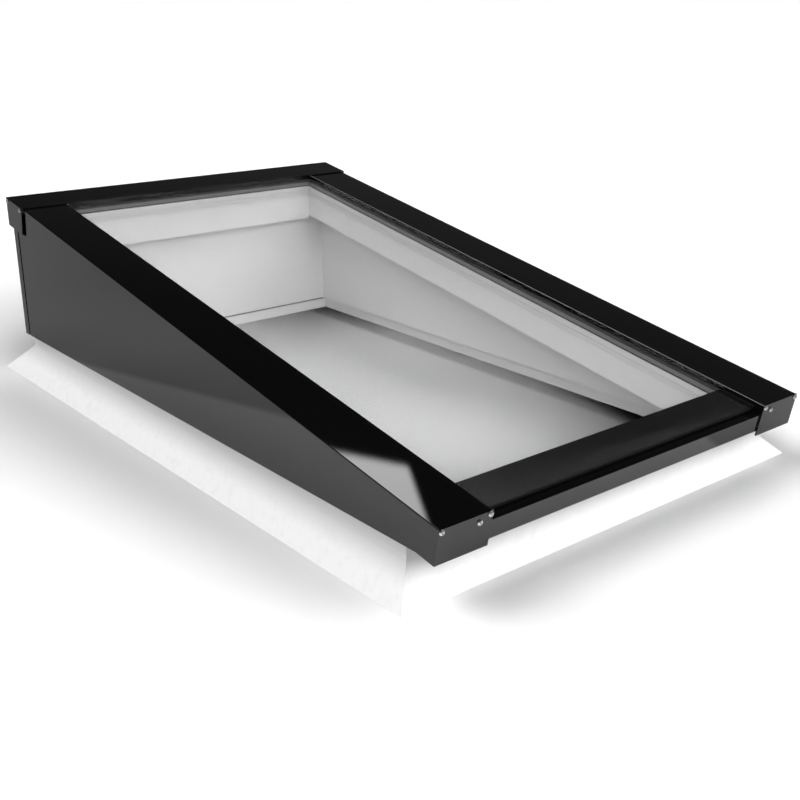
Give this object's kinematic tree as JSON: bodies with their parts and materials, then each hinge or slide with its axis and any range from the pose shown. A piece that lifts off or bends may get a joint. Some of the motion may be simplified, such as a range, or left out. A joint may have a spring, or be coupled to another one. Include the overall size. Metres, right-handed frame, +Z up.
{
  "type": "roof skylight",
  "caption": "Fixed flat-roof skylight: double glazing at a low pitch in black folded cladding, on a white moulded upstand with a 45 degree skirt.",
  "frame": {"origin": "middle of the upstand's footprint, at the level of the roof deck", "axes": "+Z up, +Y from the low front edge to the high back, +X to the right seen from the low front edge"},
  "size_m": [1, 1.5902, 0.4225],
  "materials": {
    "moulded_upstand": "white gel coat, smooth with faint brush marks",
    "white_board": "smooth satin white",
    "painted_timber": "white satin paint",
    "clear_glass": "clear, polished",
    "spacer_grey": "dark grey, matt",
    "edge_sealant": "matt black",
    "black_enamel": "black enamel fired on glass",
    "black_rubber": "matt black",
    "black_coated_sheet": "black powder coat, glossy",
    "plain_aluminium": "mill finish",
    "black_plastic": "matt black",
    "stainless_steel": "stainless, turned"
  },
  "bodies": {
    "root": {"upstand": "moulded_upstand", "side_lining_left": "white_board", "side_lining_right": "white_board", "reveal_board_left": "white_board", "reveal_board_right": "white_board", "reveal_board_back": "white_board", "frame_stile_left": "painted_timber", "frame_stile_right": "painted_timber", "frame_rail_front": "painted_timber", "frame_rail_back": "painted_timber", "glass_outer": "clear_glass", "glass_inner": "clear_glass", "glass_spacer": "spacer_grey", "glass_edge_seal": "edge_sealant", "frit_band": "black_enamel", "glazing_tape": "black_rubber", "front_tape": "black_rubber", "cap_gasket_left": "black_rubber", "cap_gasket_right": "black_rubber", "back_gasket": "black_rubber", "lap_tape_left": "black_rubber", "lap_tape_right": "black_rubber", "corner_seal_left": "black_rubber", "corner_seal_right": "black_rubber", "joint_membrane": "black_rubber", "side_cladding_left": "black_coated_sheet", "side_cladding_right": "black_coated_sheet", "end_plate_left": "black_coated_sheet", "end_plate_right": "black_coated_sheet", "front_profile": "black_coated_sheet", "back_panel": "black_coated_sheet", "back_cap": "black_coated_sheet", "end_bracket_left": "plain_aluminium", "end_bracket_right": "plain_aluminium", "cap_clips": "plain_aluminium", "back_clips": "plain_aluminium", "hem_brackets": "plain_aluminium", "setting_blocks": "black_plastic", "flap_packer_left": "black_plastic", "flap_packer_right": "black_plastic", "panel_packers": "black_plastic", "plate_screws": "stainless_steel", "flap_screws": "stainless_steel", "frame_screws": "stainless_steel"}
  },
  "joints": []
}
